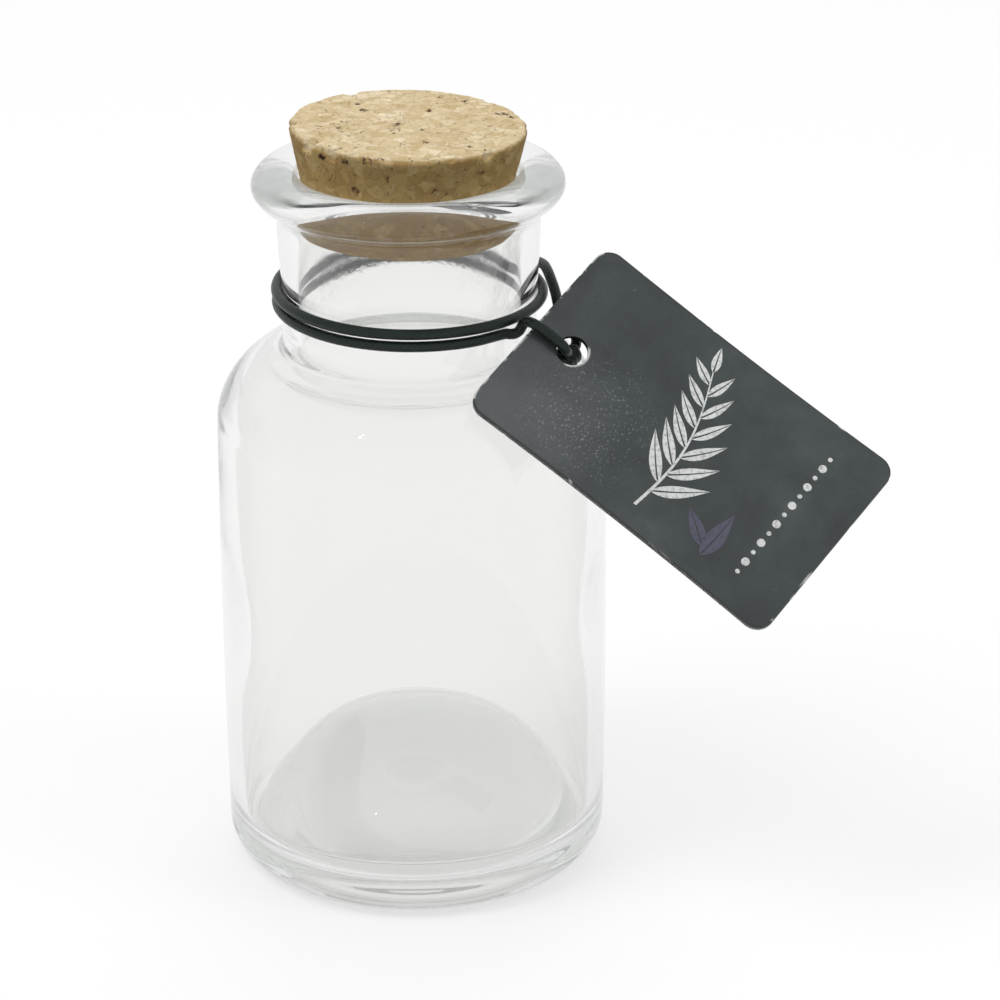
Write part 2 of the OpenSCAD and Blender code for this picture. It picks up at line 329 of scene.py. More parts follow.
def cord_line():
    points = [round_neck(*p) for p in route_in]
    for i in range(int(turn_sweep * rings_per_turn / 360) + 1):
        a = math.radians(turn_start - 360 * i / rings_per_turn)
        z = turn_z + turn_rise * i / rings_per_turn
        r = neck_r(z) + 0.06 + CORD_R
        points.append(Vector((r * math.cos(a), r * math.sin(a), z)))
    points += [round_neck(*p) for p in route_out]
    return [p * MM for p in points]


cord_path = dense_path(cord_line(), 5)
cord = tube("elastic_cord", cord_path, CORD_R * MM, 16)


def local_frame():
    ax, ay, az = tag_turn
    from mathutils import Matrix
    turn = Matrix.Rotation(az, 3, "Z") @ Matrix.Rotation(ay, 3, "Y") @ Matrix.Rotation(ax, 3, "X")
    return turn


tag_matrix = local_frame()


def in_tag(x, y, z):
    return (hole_pos + tag_matrix @ Vector((x, y, z))) * MM


# The knot: a strand wound three times round the two that it joins, and their two short tails
def make_knot():
    middle = Vector((-0.7, 0, -3.6))
    strand = 0.86
    winding = []
    turns = 3.15
    for i in range(int(turns * 20) + 1):
        t = i / 20
        a = 2 * math.pi * t + 0.6
        r = 1.42
        winding.append(in_tag(middle.x + r * math.cos(a), middle.y - 1.62 + t * 1.03, middle.z + r * math.sin(a) * 0.95))
    start = in_tag(middle.x + 0.2, middle.y - 0.4, middle.z - 0.2)
    end = in_tag(middle.x - 0.2, middle.y + 0.6, middle.z + 0.1)
    line = [start] + winding + [end]
    body = tube("knot_winding", dense_path(line, 3), strand * MM, 14)
    tails = []
    for index, (dx, dz, bend) in enumerate(((0.55, -0.35, 0.5), (-0.6, 0.1, -0.4))):
        base = Vector((middle.x + dx, middle.y, middle.z + dz))
        reach = [
            in_tag(*(base + Vector((0, 1.9, 0)))),
            in_tag(*(base + Vector((0, 0, 0)))),
            in_tag(*(base + Vector((0.1, -1.9, -0.1)))),
            in_tag(*(base + Vector((0.3 + bend, -3.2, -0.5)))),
            in_tag(*(base + Vector((0.9 + 1.3 * bend, -4.4, -1.3)))),
            in_tag(*(base + Vector((1.7 + 2.0 * bend, -5.5 - 0.3 * index, -2.4)))),
        ]
        tails.append(tube("knot_tail_%d" % (index + 1), dense_path(reach, 6),
                          lambda t: (0.80 + 0.12 * max(0, t - 0.93) / 0.07) * MM, 14))
    return [body] + tails


knot_pieces = make_knot()


def cord_material():
    m = Nodes("braided_elastic")
    uv = m.add("ShaderNodeTexCoord").outputs["UV"]
    parts = m.add("ShaderNodeSeparateXYZ", {0: uv})
    along = m.math("MULTIPLY", parts.outputs[0], 2 * math.pi / 1.15)
    around = m.math("MULTIPLY", parts.outputs[1], 2 * math.pi * 6)
    one = m.math("SINE", m.math("ADD", along, around))
    two = m.math("SINE", m.math("SUBTRACT", along, around))
    weave = m.math("MAXIMUM", one, two)
    fuzz = m.noise(9000, 3, 0.6)
    height = m.math("ADD", m.math("MULTIPLY", weave, 0.5), m.math("MULTIPLY", fuzz, 0.5))
    wear = m.noise(260, 4, 0.6)
    base = m.ramp(wear, [(0.3, (0.004, 0.009, 0.008)), (0.7, (0.008, 0.017, 0.014))])
    colour = m.mix(m.ramp(weave, [(0.25, 0.0), (0.95, 0.5)]), base, (0.012, 0.026, 0.022))
    rough = m.ramp(fuzz, [(0.3, 0.30), (0.7, 0.48)])
    return m.use(colour=colour, rough=rough, level=0.32, normal=m.bump(height, 0.5, 0.00007))


elastic = cord_material()
for piece in [cord] + knot_pieces:
    piece.data.materials.append(elastic)
    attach(piece, "elastic")
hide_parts("cord")
for piece in knot_pieces:
    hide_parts("knot")


# ---------------------------------------------------------------- the glass
def push_line(r, low, top, steps):
    """Outline of the push-up, inside or under the base, from its middle down to its ring."""
    return curve((0, top), (r * push_full, top), (r - push_run, low), (r, low), steps)


def glass_outline():
    outer_fillet, inner_fillet, inner_less = 1.2, 5.5, wall / 3
    line = push_line(foot_ring_r, 0, under_top, 40)
    line += arc((body_r - heel_w, heel_h), heel_w, heel_h, -math.pi / 2, 0, 24)
    for i in range(1, 41):
        t = i / 40
        line.append((body_r + body_swell * math.sin(math.pi * t), heel_h + (shoulder_z - heel_h) * t))
    end = plus((neck_base_r, neck_base_z), down_slope(outer_fillet))
    line += curve((body_r, shoulder_z), (body_r, shoulder_z + shoulder_rise),
                  plus(end, down_slope(shoulder_run - outer_fillet)), end, 32)[1:]
    start = neck_base_z + outer_fillet
    line += curve(end, (neck_base_r, neck_base_z), (neck_base_r, neck_base_z), (neck_r(start), start), 10)[1:]
    for i in range(1, 33):
        z = start + (neck_straight_z - start) * i / 32
        line.append((neck_r(z), z))
    roll_in = (rim_mid_r + rim_w / 2 * math.cos(roll_start), rim_z + rim_h / 2 * math.sin(roll_start))
    way = Vector((-rim_w * math.sin(roll_start), rim_h * math.cos(roll_start))).normalized()
    line += curve((neck_top_r, neck_straight_z), (neck_top_r, neck_straight_z + rim_fillet / 2),
                  (roll_in[0] - way.x * rim_fillet / 2, roll_in[1] - way.y * rim_fillet / 2), roll_in, 12)[1:]
    line += arc((rim_mid_r, rim_z), rim_w / 2, rim_h / 2, roll_start, roll_end - 0.12, 44)[1:]
    last = line[-1]
    line += curve(last, (mouth_r + 0.12, mouth_z - 0.02), (mouth_r, mouth_z - 0.1), (mouth_r, mouth_z - 0.9), 6)[1:]
    corner = (mouth_r, inner_slope_z + (neck_base_r - mouth_r) * math.tan(shoulder_slope))
    top = (mouth_r, corner[1] + inner_fillet)
    steps = 16
    line += [(mouth_r, line[-1][1] + (top[1] - line[-1][1]) * i / steps) for i in range(1, steps)]
    fillet_end = plus(corner, down_slope(inner_fillet))
    line += curve(top, plus(corner, (0, inner_fillet * 0.45)), plus(corner, down_slope(inner_fillet * 0.45)), fillet_end, 18)
    inner_end = (neck_base_r, inner_slope_z)
    line += curve(fillet_end, plus(inner_end, down_slope(shoulder_run - inner_less)),
                  (inner_r, shoulder_z + shoulder_rise - inner_less), (inner_r, shoulder_z), 26)[1:]
    low = base_t + floor_rise
    line += [(inner_r, shoulder_z + (low - shoulder_z) * i / 36) for i in range(1, 36)]
    line += arc((floor_ring_r, low), floor_in, floor_rise, 0, -math.pi / 2, 14)
    line += push_line(floor_ring_r, base_t, floor_top, 48)[-2::-1]
    return line


def glass_wave(p, angle, i):
    """The slight unevenness of moulded glass, none of it where the cord and the cork sit."""
    r = math.hypot(p.x, p.y)
    if r < 1e-6:
        return p
    calm = smooth_part((94 - p.z) / 20)
    push = 0.10 * calm * noise.noise(Vector((p.x * 0.05, p.y * 0.05, p.z * 0.028)))
    if r < body_r - wall * 0.6:
        push += 0.16 * calm * noise.noise(Vector((p.x * 0.045 + 7, p.y * 0.045, p.z * 0.04)))
        # The wall is thicker low on its left and right, and the push-up is dented on its left
        for a, z, deep in ((3.35, 48, 0.75), (-0.20, 50, 0.55)):
            if p.z > 25:
                turned = (angle - a + math.pi) % (2 * math.pi) - math.pi
                push -= deep * math.exp(-(turned / 0.22) ** 2 - ((p.z - z) / 9) ** 2)
        if under_top + 0.5 < p.z < floor_top + 0.1 and r < floor_ring_r:
            turned = (angle - 2.85 + math.pi) % (2 * math.pi) - math.pi
            push -= 1.0 * math.exp(-(turned / 0.65) ** 2 - ((p.z - 16.5) / 4.2) ** 2)
    return Vector((p.x * (1 + push / r), p.y * (1 + push / r), p.z))


def glass_material():
    m = Nodes("clear_glass_look")
    seeds = m.noise(38, 2, 0.4)
    fine = m.noise(420, 2, 0.5)
    height = m.math("ADD", seeds, m.math("MULTIPLY", fine, 0.05))
    rough = m.ramp(m.noise(90, 3, 0.5), [(0.45, 0.0), (0.8, 0.012)])
    # The mould left the back of the neck uneven
    parts = m.add("ShaderNodeSeparateXYZ", {0: m.coords()})
    behind = m.ramp(m.math("MULTIPLY", parts.outputs[1], 20.0), [(0.10, 0.0), (0.30, 1.0)])
    rise = m.ramp(m.math("MULTIPLY", m.math("SUBTRACT", parts.outputs[2], 0.095), 30.0),
                  [(0.10, 0.0), (0.30, 1.0), (0.72, 1.0), (0.86, 0.0)])
    marks = m.math("MULTIPLY", m.math("MULTIPLY", behind, rise), m.noise(950, 4, 0.7))
    normal = m.bump(marks, 0.6, 0.0005, normal=m.bump(height, 0.06, 0.0006))
    facing = m.add("ShaderNodeLayerWeight", {"Blend": 0.5}).outputs["Facing"]
    tint = m.ramp(facing, [(0.45, (0.926, 0.928, 0.920)), (0.62, (0.850, 0.854, 0.846)),
                           (0.84, (0.740, 0.745, 0.738)), (1.0, (0.60, 0.605, 0.598))])
    m.use(colour=tint, rough=rough, ior=1.5, glass=1.0, normal=normal)
    inside = m.add("ShaderNodeVolumeAbsorption", {"Color": (0.905, 0.915, 0.909, 1), "Density": 18.0})
    m.link(inside.outputs[0], m.output.inputs["Volume"])
    return m.material


glass = lathe("glass_body", glass_outline(), 192, glass_wave)
glass.data.materials.append(glass_material())
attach(glass, "jar")
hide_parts("jar")


# ---------------------------------------------------------------- the cork
def cork_outline():
    seat_r = mouth_r - cork_gap
    low = cork_h - cork_proud
    edge = cork_edge

    def centre(z):
        return (seat_r + z * math.tan(cork_taper) - edge / math.cos(cork_taper), z)
    bottom = centre(edge - low)
    top = centre(cork_proud - edge)
    line = [(bottom[0] * i / 22, -low) for i in range(22)]
    line += arc(bottom, edge, edge, -math.pi / 2, -cork_taper, 6)
    first, last = line[-1], arc(top, edge, edge, -cork_taper, math.pi / 2, 1)[0]
    line += [(first[0] + (last[0] - first[0]) * i / 46, first[1] + (last[1] - first[1]) * i / 46) for i in range(1, 46)]
    line += arc(top, edge, edge, -cork_taper, math.pi / 2, 8)
    line += [(top[0] * (1 - i / 40), cork_proud) for i in range(1, 41)]
    return line


# Chips out of the cork's edge: angle, height, radius, and how deep
cork_chips = [(-2.58, 8.0, 2.3, 1.1), (-2.25, 7.9, 1.9, 0.8), (-0.85, 8.0, 1.2, 0.5), (-1.2, 8.3, 0.9, 0.35),
              (-1.75, 8.3, 1.1, 0.40), (0.8, 8.2, 1.3, 0.6), (2.1, 8.2, 1.7, 0.8), (2.9, 7.9, 0.9, 0.5),
              (1.5, 8.3, 0.7, 0.4), (-0.10, 7.9, 0.9, 0.5), (3.13, 8.1, 1.1, 0.5), (0.38, 8.2, 1.2, 0.5)]
# Dark pits: place from the stopper's middle, and radius
cork_pits = [(-8.7, 11.1, 8.3, 0.55), (-7.6, 7.7, 8.3, 0.75), (6.1, 16.3, 8.3, 0.6), (3.8, 8.2, 8.3, 0.7),
             (-1.6, -0.3, 8.3, 0.75), (2.3, -2.9, 8.3, 0.65), (3.0, -10.0, 8.3, 0.6), (10.6, -12.0, 8.3, 0.65),
             (14.1, 0.2, 8.3, 0.5), (16.8, 7.3, 8.3, 1.1), (18.3, 5.6, 8.2, 0.9), (15.2, -2.6, 8.3, 0.5),
             (-11.0, 0.8, 8.3, 0.55), (-11.7, -3.2, 8.3, 0.6), (-16.9, -11.0, 8.2, 0.9), (-15.3, 11.9, 8.3, 0.6),
             (-20.2, -0.5, 8.1, 1.0), (-5.4, 6.5, 8.3, 0.5), (-14.8, -14.2, 6.3, 0.8), (-10.4, -17.2, 6.9, 0.7),
             (-9.0, -17.2, 1.6, 0.7), (4.5, -19.2, 2.3, 0.6), (-17.2, -8.4, 4.2, 0.6), (12.5, -15.4, 4.6, 0.6),
             (-3.6, -19.6, 4.6, 0.5), (10.0, 14.0, 8.3, 0.5), (-2.0, 18.0, 6.0, 0.6), (12.0, 14.5, 3.0, 0.7),
             (-14.0, 12.8, 3.0, 0.6), (18.8, 4.0, 4.4, 0.7), (-19.4, 3.0, 3.2, 0.6)]


def cork_shape(p, angle, i):
    r = math.hypot(p.x, p.y)
    seat_r = mouth_r - cork_gap
    top_r = seat_r + p.z * math.tan(cork_taper)
    out = Vector((math.cos(angle), math.sin(angle), 0))
    q = p.copy()
    grain = noise.noise(Vector((p.x * 0.9, p.y * 0.9, p.z * 0.9)))
    fine = noise.noise(Vector((p.x * 2.6, p.y * 2.6, p.z * 2.6 + 40)))
    near_side = smooth_part((r - (top_r - 1.6)) / 1.6)
    near_top = smooth_part((p.z - (cork_proud - 2.2)) / 2.2)
    q -= out * near_side * (0.06 + 0.07 * grain + 0.05 * fine)
    ragged = noise.noise(Vector((math.cos(angle) * 5.2, math.sin(angle) * 5.2, 3.1)))
    ragged += 0.35 * noise.noise(Vector((math.cos(angle) * 14, math.sin(angle) * 14, 9.1)))
    bite = max(0.0, 0.12 + 0.85 * ragged) * (0.65 - 0.35 * math.sin(angle))
    q -= (out * 0.8 + Vector((0, 0, 0.9))) * bite * near_side * near_top
    if r < top_r - 0.8 and p.z > cork_proud - 0.01:
        q.z -= 0.05 + 0.07 * max(0, grain + 0.3) + 0.05 * fine
    for a, z, size, deep in cork_chips:
        spot = Vector((math.cos(a) * (seat_r + z * math.tan(cork_taper)), math.sin(a) * (seat_r + z * math.tan(cork_taper)), z))
        near = (p - spot).length + 0.35 * size * noise.noise(p * 0.8 + Vector((a * 9, 0, 0)))
        if near < size:
            push = deep * (1 - (near / size) ** 2)
            q -= (out + Vector((0, 0, 0.8))).normalized() * push
    for x, y, z, size in cork_pits:
        near = (p - Vector((x, y, z))).length + 0.5 * size * noise.noise(p * 1.7)
        if near < size:
            q -= (Vector((0, 0, 1)) if z > 8 else out) * 0.45 * (1 - (near / size) ** 2)
    lean = Vector((q.x * math.cos(cork_lean) + q.z * math.sin(cork_lean), q.y,
                   -q.x * math.sin(cork_lean) + q.z * math.cos(cork_lean)))
    return lean + Vector((-seat_r * math.sin(cork_lean) * math.tan(cork_taper), 0, mouth_z))


def cork_material():
    m = Nodes("agglomerated_cork")
    where = m.coords()
    stir = m.add("ShaderNodeTexNoise", {"Scale": 520.0, "Detail": 3.0, "Vector": where}).outputs["Color"]
    stir = m.add("ShaderNodeVectorMath", {0: stir, 1: (0.0022, 0.0022, 0.0022)}, operation="MULTIPLY").outputs[0]
    bent = m.add("ShaderNodeVectorMath", {0: where, 1: stir}, operation="ADD").outputs[0]
    cells = m.add("ShaderNodeTexVoronoi", {"Vector": bent}, feature="SMOOTH_F1")
    cells.inputs["Scale"].default_value, cells.inputs["Smoothness"].default_value = 470, 0.30
    seams = m.add("ShaderNodeTexVoronoi", {"Scale": 470.0, "Vector": bent}, feature="DISTANCE_TO_EDGE").outputs["Distance"]
    pick = m.add("ShaderNodeSeparateColor", {0: cells.outputs["Color"]}).outputs[0]
    side = m.add("ShaderNodeAttribute", attribute_name="side").outputs["Fac"]
    cut = m.ramp(pick, [(0.0, (0.58, 0.44, 0.24)), (0.2, (0.66, 0.53, 0.32)), (0.55, (0.71, 0.585, 0.37)),
                        (0.85, (0.75, 0.63, 0.42)), (1.0, (0.84, 0.73, 0.53))])
    skin = m.ramp(pick, [(0.1, (0.43, 0.275, 0.098)), (0.4, (0.48, 0.325, 0.120)), (0.7, (0.53, 0.370, 0.145)),
                         (1.0, (0.60, 0.440, 0.200))])
    # Painted shade: darker and warmer where it sits inside the glass neck
    depth = m.add("ShaderNodeSeparateXYZ", {0: where}).outputs[2]
    painted_neck_shade = m.ramp(m.math("MULTIPLY", m.math("SUBTRACT", depth, 0.126), 100.0), [(0.30, 1.0), (0.42, 0.0)])
    skin = m.mix(painted_neck_shade, skin, (0.80, 0.73, 0.52), "MULTIPLY")
    colour = m.mix(side, cut, skin)
    grain = m.noise(1050, 6, 0.7)
    colour = m.mix(m.ramp(grain, [(0.42, 0.0), (0.80, 0.55)]), colour, (0.40, 0.27, 0.13))
    pale = m.ramp(m.noise(480, 4, 0.6, distortion=0.8), [(0.56, 0.0), (0.72, 0.55)])
    colour = m.mix(m.math("MULTIPLY", pale, m.math("SUBTRACT", 1.0, m.math("MULTIPLY", side, 0.6))), colour, (0.86, 0.77, 0.60))
    seam = m.math("MULTIPLY", m.ramp(seams, [(0.0, 0.42), (0.07, 0.0)]), m.ramp(m.noise(300, 2), [(0.4, 0.15), (0.62, 1.0)]))
    colour = m.mix(seam, colour, (0.20, 0.115, 0.05))
    long_specks = m.noise(1500, 3, 0.55, vector=m.coords((1.0, 0.45, 0.8), turn=(0.3, 0.5, 0.9)), distortion=1.2)
    specks = m.ramp(long_specks, [(0.655, 0.0), (0.700, 0.8)])
    colour = m.mix(specks, colour, (0.115, 0.055, 0.030))
    rare = m.ramp(m.noise(560, 3, 0.55, distortion=1.8), [(0.675, 0.0), (0.715, 0.95)])
    colour = m.mix(rare, colour, (0.075, 0.038, 0.024))
    broad = m.ramp(m.noise(110, 3, 0.5), [(0.35, 0.0), (0.75, 0.30)])
    colour = m.mix(broad, colour, (0.42, 0.29, 0.14))
    pits = m.ramp(m.add("ShaderNodeAttribute", attribute_name="pit").outputs["Fac"], [(0.15, 0.0), (0.6, 1.0)])
    pits = m.math("MULTIPLY", pits, m.ramp(m.noise(1300, 3, 0.6), [(0.36, 0.25), (0.55, 1.0)]))
    colour = m.mix(pits, colour, (0.060, 0.026, 0.016))
    holes = m.math("MAXIMUM", specks, rare)
    height = m.math("SUBTRACT", m.math("MULTIPLY", grain, 0.5), m.math("MULTIPLY", holes, 0.9))
    height = m.math("SUBTRACT", height, m.math("MULTIPLY", seam, 0.5))
    return m.use(colour=colour, rough=m.ramp(grain, [(0.3, 0.78), (0.7, 0.95)]), level=0.2,
                 normal=m.bump(height, 0.75, 0.0003))


def mark_side(thing):
    """Keeps how far each point is on the stopper's side, which is darker than its cut ends."""
    values = []
    for v in thing.data.vertices:
        p = v.co / MM - Vector((0, 0, mouth_z))
        r = math.hypot(p.x, p.y)
        full = mouth_r - cork_gap + p.z * math.tan(cork_taper)
        values.append(smooth_part((r - full + 1.15) / 0.7) * (1 - smooth_part((p.z - cork_proud + 0.55 + 0.035 * p.x) / 0.5)))
    layer = thing.data.attributes.new("side", "FLOAT", "POINT")
    layer.data.foreach_set("value", values)
    values = []
    for v in thing.data.vertices:
        p = v.co / MM - Vector((0, 0, mouth_z))
        stray = 0.55 * noise.noise(p * 1.9)
        near = [(p - Vector((x, y, z - 0.03 * x))).length / (size * 1.25) + stray for x, y, z, size in cork_pits]
        values.append(max(0.0, 1 - min(near) ** 2))
    layer = thing.data.attributes.new("pit", "FLOAT", "POINT")
    layer.data.foreach_set("value", values)


cork = lathe("cork_stopper", cork_outline(), 320, cork_shape)
mark_side(cork)
cork.data.materials.append(cork_material())
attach(cork, "cork")
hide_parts("cork")


# ---------------------------------------------------------------- the tag
def tag_reach(angle, inset):
    """Distance from the hole's middle to the tag's outline, in a direction of its plane."""
    left, right = tag_corner - hole_in, tag_l - hole_in - tag_corner
    half = tag_w / 2 - tag_corner
    c, s = math.cos(angle), math.sin(angle)
    low, high = 0.0, 90.0
    for _ in range(34):
        mid = (low + high) / 2
        x, y = c * mid, abs(s * mid)
        t = (x - left) / (right - left)
        if 0 <= t <= 1:
            inside = y <= tag_w / 2 - inset - 4 * tag_hollow * t * (1 - t)
        else:
            inside = -hole_in + inset <= x <= tag_l - hole_in - inset and y <= tag_w / 2 - inset
        cx = left if x < left else right
        if (x < left or x > right) and y > half:
            inside = math.hypot(x - cx, y - half) <= tag_corner - inset
        low, high = (mid, high) if inside else (low, mid)
    return low


def tag_warp(x, y):
    """The card's slight bow, none at the hole."""
    far = max(0.0, x - 6) / 50
    return 0.28 * far * far * (y / 20) - 0.22 * (y / 20) ** 2 * far


def make_tag():
    spokes = 360
    rings = 26
    half = tag_t / 2
    # Directions crowd at the corners, so that these stay round
    corners = [math.atan2(sy * (tag_w / 2), x) for x in (-hole_in, tag_l - hole_in) for sy in (-1, 1)]
    angles = sorted(set([round(2 * math.pi * k / spokes, 5) for k in range(spokes)]
                        + [round((c + d * 0.006) % (2 * math.pi), 5) for c in corners for d in range(-22, 23)]))
    spokes = len(angles)
    levels = []
    # From the hole's edge outwards on the front, round the rim, and back on the underside
    edge = tag_bevel
    hole_r = hole_d / 2
    band = 0.3
    levels.append(("start", 0, half))
    for i in range(rings + 1):
        levels.append(("flat", i / rings, half))
    levels.append(("end", 0, half))
    levels += [("rim", edge * 0.3, half - edge * 0.3), ("rim", 0.0, half - edge), ("rim", 0.0, edge - half),
               ("rim", edge * 0.3, edge * 0.3 - half)]
    levels.append(("end", 0, -half))
    for i in range(rings, -1, -1):
        levels.append(("flat", i / rings, -half))
    levels.append(("start", 0, -half))
    levels += [("hole", edge * 0.3, edge * 0.3 - half), ("hole", 0.0, edge - half), ("hole", 0.0, half - edge),
               ("hole", edge * 0.3, half - edge * 0.3)]
    reach = {inset: [tag_reach(a, inset) for a in angles] for inset in (0.0, edge * 0.3, edge)}
    points, wear_and_glints, painted_edge_shade = [], [], []
    for kind, value, z in levels:
        for k, a in enumerate(angles):
            if kind == "start":
                r = hole_r + edge
            elif kind == "end":
                r = reach[edge][k]
            elif kind == "flat":
                inner = hole_r + edge + band
                r = inner + (reach[edge][k] - band - inner) * value ** 1.15
            elif kind == "rim":
                r = reach[value][k]
            else:
                r = hole_r + value
            x, y = r * math.cos(a), r * math.sin(a)
            # Small nicks along the rim
            if kind == "rim":
                nick = noise.noise(Vector((x * 0.9, y * 0.9, 5.5)))
                r -= max(0.0, nick - 0.42) * 0.5
                x, y = r * math.cos(a), r * math.sin(a)
            points.append(in_tag(x, y, z + tag_warp(x, y)))
            chip = noise.noise(Vector((x * 0.55, y * 0.55, 2.5))) + 0.5 * noise.noise(Vector((x * 1.7, y * 1.7, 8.5)))
            # Painted highlight: white glints along the short edge beyond the hole, on top of the wear chips
            painted_glint_edge = smooth_part((-6.5 - x) / 0.6) * 0.45
            wear_and_glints.append(smooth_part((chip - 0.42 + painted_glint_edge) / 0.2) if kind in ("rim", "end") and z > -0.3 else 0.0)
            # Painted highlight: a light arc on one side of the hole's front bevel
            if kind in ("hole", "start") and z > 0.3:
                wear_and_glints[-1] = smooth_part((math.cos(a + 0.25) - 0.30) / 0.25)
            long_side = abs(y) > tag_w / 2 - 1.6 and kind in ("rim", "end")
            # Painted shade: near black on the side faces of the rim and the hole, and at the edge along both long sides
            painted_edge_shade.append(1.0 if long_side or kind in ("rim", "hole") and z < half - edge * 0.6 else 0.0)
            if long_side:
                wear_and_glints[-1] *= smooth_part((chip - 0.62) / 0.1)
    faces = []
    count = len(levels)
    for i in range(count):
        j = (i + 1) % count
        for k in range(spokes):
            k2 = (k + 1) % spokes
            faces.append((i * spokes + k, j * spokes + k, j * spokes + k2, i * spokes + k2))
    tag = make_object("swing_tag", points, faces)
    uv = tag.data.uv_layers.new(name="UVMap")
    for loop in tag.data.loops:
        i, k = divmod(loop.vertex_index, spokes)
        local = tag_matrix.transposed() @ (Vector(points[loop.vertex_index]) / MM - hole_pos)
        uv.data[loop.index].uv = (local.x / 60, local.y / 60)
    for key, values in (("wear_and_glints", wear_and_glints), ("painted_edge_shade", painted_edge_shade)):
        layer = tag.data.attributes.new(key, "FLOAT", "POINT")
        layer.data.foreach_set("value", values)
    weighted = tag.modifiers.new("weighted", "WEIGHTED_NORMAL")
    weighted.keep_sharp = False
    return tag


def tag_material():
    m = Nodes("laminated_board")
    cloud = m.noise(55, 5, 0.62, distortion=0.4)
    fine = m.noise(520, 4, 0.7)
    mottle = m.noise(170, 6, 0.7)
    base = m.ramp(cloud, [(0.30, (0.026, 0.035, 0.036)), (0.55, (0.041, 0.053, 0.054)), (0.78, (0.070, 0.082, 0.084))])
    colour = m.mix(m.ramp(mottle, [(0.42, 0.0), (0.72, 0.50)]), base, (0.013, 0.016, 0.016))
    # Painted reflection: a soft lighter patch at the corner that hangs out to the left
    place = m.add("ShaderNodeTexCoord").outputs["UV"]
    away = m.add("ShaderNodeVectorMath", {0: place, 1: (-0.02, -0.27, 0.0)}, operation="DISTANCE").outputs["Value"]
    painted_reflection = m.math("MULTIPLY", m.ramp(away, [(0.08, 1.0), (0.34, 0.0)]), m.ramp(cloud, [(0.30, 0.45), (0.60, 1.0)]))
    colour = m.mix(m.math("MULTIPLY", painted_reflection, 0.75), colour, (0.105, 0.113, 0.117))
    colour = m.mix(m.ramp(fine, [(0.66, 0.0), (0.76, 0.5)]), colour, (0.14, 0.15, 0.15))
    away = m.add("ShaderNodeVectorMath", {0: place, 1: (0.16, -0.14, 0.0)}, operation="DISTANCE").outputs["Value"]
    dusty = m.math("MULTIPLY", m.ramp(away, [(0.05, 1.0), (0.26, 0.0)]), m.ramp(m.noise(2300, 2, 0.5), [(0.60, 0.0), (0.68, 1.0)]))
    colour = m.mix(m.math("MULTIPLY", dusty, 0.55), colour, (0.34, 0.34, 0.35))
    # Painted shade on the side faces of the rim and the hole and along the long edges
    painted_edge_shade = m.add("ShaderNodeAttribute", attribute_name="painted_edge_shade").outputs["Fac"]
    colour = m.mix(m.math("MULTIPLY", painted_edge_shade, 0.85), colour, (0.006, 0.007, 0.007))
    # Light wear chips along the rim, with painted glints on the short edge beyond the hole and on the hole's bevel
    wear_and_glints = m.add("ShaderNodeAttribute", attribute_name="wear_and_glints").outputs["Fac"]
    colour = m.mix(m.math("MULTIPLY", wear_and_glints, m.ramp(fine, [(0.35, 0.5), (0.55, 1.0)])), colour, (0.68, 0.68, 0.67))
    rough = m.mix(0.5, m.ramp(cloud, [(0.3, 0.20), (0.7, 0.42)]), m.ramp(mottle, [(0.35, 0.16), (0.7, 0.40)]))
    height = m.math("ADD", m.math("MULTIPLY", mottle, 0.7), m.math("MULTIPLY", fine, 0.3))
    return m.use(colour=colour, rough=rough, coat=0.35, coat_rough=0.12, normal=m.bump(height, 0.22, 0.00012))


tag = make_tag()
tag.data.materials.append(tag_material())
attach(tag, "tag")
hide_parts("tag")


# A plain printed ornament stands where the real tag has words: a leafy sprig, two loose leaves and a row of dots
ink_low, ink_top, ink_vein = -0.03, 0.03, 0.16


def leaf(base, way, length, width, bend=0.0):
    """The two halves of a leaf, with a bare vein between them, as pairs of points across."""
    forward = Vector((math.cos(way), math.sin(way)))
    across = Vector((-forward.y, forward.x))
    halves = []
    for side in (-1, 1):
        pairs = []
        for i in range(15):
            t = i / 14
            wide = width / 2 * math.sin(math.pi * t ** 0.8) * (1 - 0.25 * t) + 0.01
            vein = min(ink_vein * (1 - 0.6 * t), wide * 0.6)
            middle = Vector(base) + forward * length * t + across * bend * length * t * t
            pairs.append((middle + across * side * vein, middle + across * side * wide))
        halves.append(pairs)
    return halves


def dot(x, y, r):
    pairs = []
    for i in range(13):
        a = math.pi * (i + 0.02) / 12.04
        pairs.append((Vector((x - r * math.cos(a), y - r * math.sin(a))), Vector((x - r * math.cos(a), y + r * math.sin(a)))))
    return pairs


def stem(t):
    return Vector((25.5 - 4.5 * t + 2.6 * math.sin(math.pi * t), -15.5 + 28.5 * t))


def print_on_tag(name, shapes):
    points, faces = [], []
    for pairs in shapes:
        first, count = len(points), len(pairs)
        for lift in (ink_low, ink_top):
            for pair in pairs:
                points += [in_tag(q.x, q.y, tag_t / 2 + tag_warp(q.x, q.y) + lift) for q in pair]
        over = first + 2 * count
        for i in range(0, 2 * count - 2, 2):
            faces += [(over + i, over + i + 1, over + i + 3, over + i + 2),
                      (first + i, first + i + 2, first + i + 3, first + i + 1),
                      (first + i, over + i, over + i + 2, first + i + 2),
                      (first + i + 1, first + i + 3, over + i + 3, over + i + 1)]
        faces += [(first, first + 1, over + 1, over), (over - 2, over + 2 * count - 2, over + 2 * count - 1, over - 1)]
    thing = make_object(name, points, faces, False)
    shell = bmesh.new()
    shell.from_mesh(thing.data)
    bmesh.ops.recalc_face_normals(shell, faces=shell.faces)
    shell.to_mesh(thing.data)
    shell.free()
    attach(thing, "tag")
    return thing


